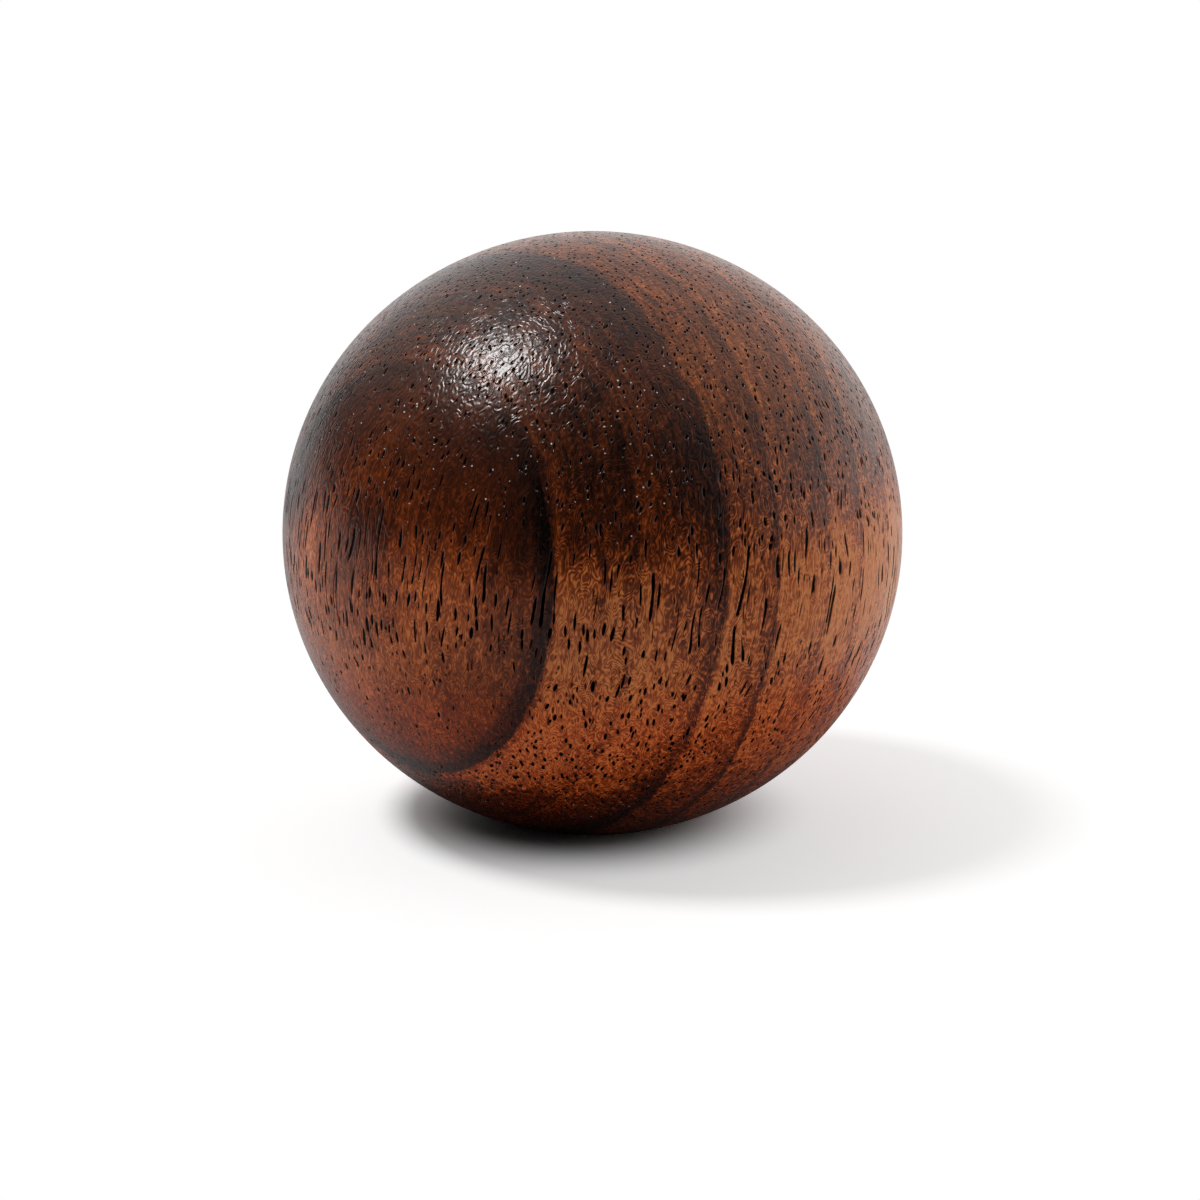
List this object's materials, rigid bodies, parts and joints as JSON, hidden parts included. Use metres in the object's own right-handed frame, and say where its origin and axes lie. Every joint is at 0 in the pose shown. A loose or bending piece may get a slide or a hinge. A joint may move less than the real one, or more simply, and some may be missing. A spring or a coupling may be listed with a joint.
{
  "type": "wooden cabinet knob",
  "caption": "Ball-shaped turned wooden knob with a flat seat and a threaded brass insert, for a cabinet door or drawer front.",
  "frame": {"origin": "centre of the flat seat that meets the door or drawer front", "axes": "+Z along the turning axis, out of the seat towards the crown of the ball"},
  "size_m": [0.032, 0.032, 0.0304],
  "materials": {
    "walnut": "oiled satin, end grain at the crown",
    "insert_brass": "machined"
  },
  "bodies": {
    "root": {"knob_body": "walnut", "threaded_insert": "insert_brass"}
  },
  "joints": []
}
